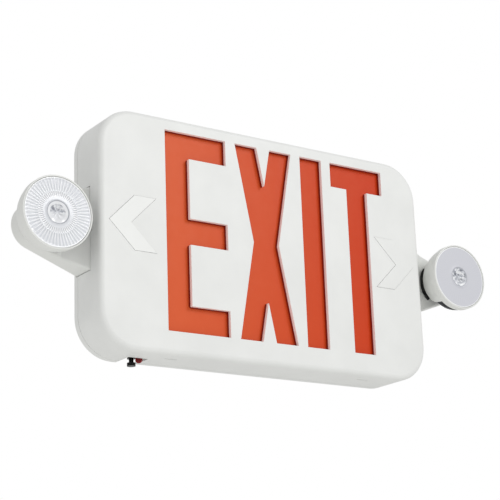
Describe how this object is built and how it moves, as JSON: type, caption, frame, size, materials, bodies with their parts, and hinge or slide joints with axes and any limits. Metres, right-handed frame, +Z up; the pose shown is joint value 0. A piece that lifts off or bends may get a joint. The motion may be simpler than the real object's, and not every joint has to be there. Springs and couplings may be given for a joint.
{
  "type": "emergency exit light",
  "caption": "Wall exit sign with cut-out red-lit legend and direction chevrons, and a round adjustable emergency lamp head on an arm at each side.",
  "frame": {"origin": "centre of the back plate's rear face, on the wall, in the middle of the wire entry", "axes": "+X to the viewer's right, +Y into the wall, so the sign faces -Y, +Z up"},
  "size_m": [0.4186, 0.0455, 0.184],
  "materials": {
    "housing_white": "fine satin moulding",
    "legend_red": "translucent, satin",
    "tray_white": "matte white",
    "circuit_board": "satin lacquer",
    "transformer_steel": "lacquered laminations",
    "terminal_plastic": "matte",
    "battery_wrap": "shrink film",
    "zinc_steel": "zinc plated",
    "button_black": "gloss",
    "status_red": "clear, tinted",
    "lamp_white": "fine satin moulding",
    "heat_sink_metal": "dark anodised",
    "lens_clear": "clear, smooth front"
  },
  "bodies": {
    "housing": {"back_plate": "housing_white", "front_cover": "housing_white", "chevron_left": "housing_white", "chevron_right": "housing_white", "legend_diffuser": "legend_red", "reflector_tray": "tray_white", "light_strip_top": "circuit_board", "light_strip_bottom": "circuit_board", "charger_board": "circuit_board", "transformer": "transformer_steel", "supply_terminal": "terminal_plastic", "battery_pack": "battery_wrap", "battery_strap": "zinc_steel", "test_carrier": "circuit_board", "test_switch": "button_black", "status_lamp": "status_red", "tray_screws": "zinc_steel", "board_screws": "zinc_steel", "strap_screws": "zinc_steel", "lamp_arm_left": "lamp_white", "arm_screws_left": "zinc_steel", "lamp_arm_right": "lamp_white", "arm_screws_right": "zinc_steel"},
    "lamp_mount_left": {"swivel_post_left": "lamp_white", "swivel_washer_left": "zinc_steel", "swivel_screw_left": "zinc_steel"},
    "lamp_head_left": {"lamp_housing_left": "lamp_white", "tilt_pin_left": "zinc_steel", "heat_sink_left": "heat_sink_metal", "lamp_board_left": "circuit_board", "lamp_lens_left": "lens_clear"},
    "lamp_mount_right": {"swivel_post_right": "lamp_white", "swivel_washer_right": "zinc_steel", "swivel_screw_right": "zinc_steel"},
    "lamp_head_right": {"lamp_housing_right": "lamp_white", "tilt_pin_right": "zinc_steel", "heat_sink_right": "heat_sink_metal", "lamp_board_right": "circuit_board", "lamp_lens_right": "lens_clear"},
    "test_plunger": {"test_button": "button_black"}
  },
  "joints": [
    {"name": "lamp_swivel_left", "type": "hinge", "parent": "housing", "child": "lamp_mount_left", "pos_m": [-0.1825, -0.017, 0], "axis": [0, -1, 0], "range_deg": [-165, 165]},
    {"name": "lamp_tilt_left", "type": "hinge", "parent": "lamp_mount_left", "child": "lamp_head_left", "pos_m": [-0.1825, -0.028, 0], "axis": [0.2924, 0, 0.9563], "range_deg": [0, 30]},
    {"name": "lamp_swivel_right", "type": "hinge", "parent": "housing", "child": "lamp_mount_right", "pos_m": [0.1825, -0.017, 0], "axis": [0, -1, 0], "range_deg": [-165, 165]},
    {"name": "lamp_tilt_right", "type": "hinge", "parent": "lamp_mount_right", "child": "lamp_head_right", "pos_m": [0.1825, -0.028, 0], "axis": [0.2924, 0, 0.9563], "range_deg": [0, 30]},
    {"name": "test_press", "type": "slide", "parent": "housing", "child": "test_plunger", "axis": [0, 0, 1], "range_m": [0, 0.0015], "stiffness_N_per_m": 400, "springref_m": -0.0005}
  ]
}
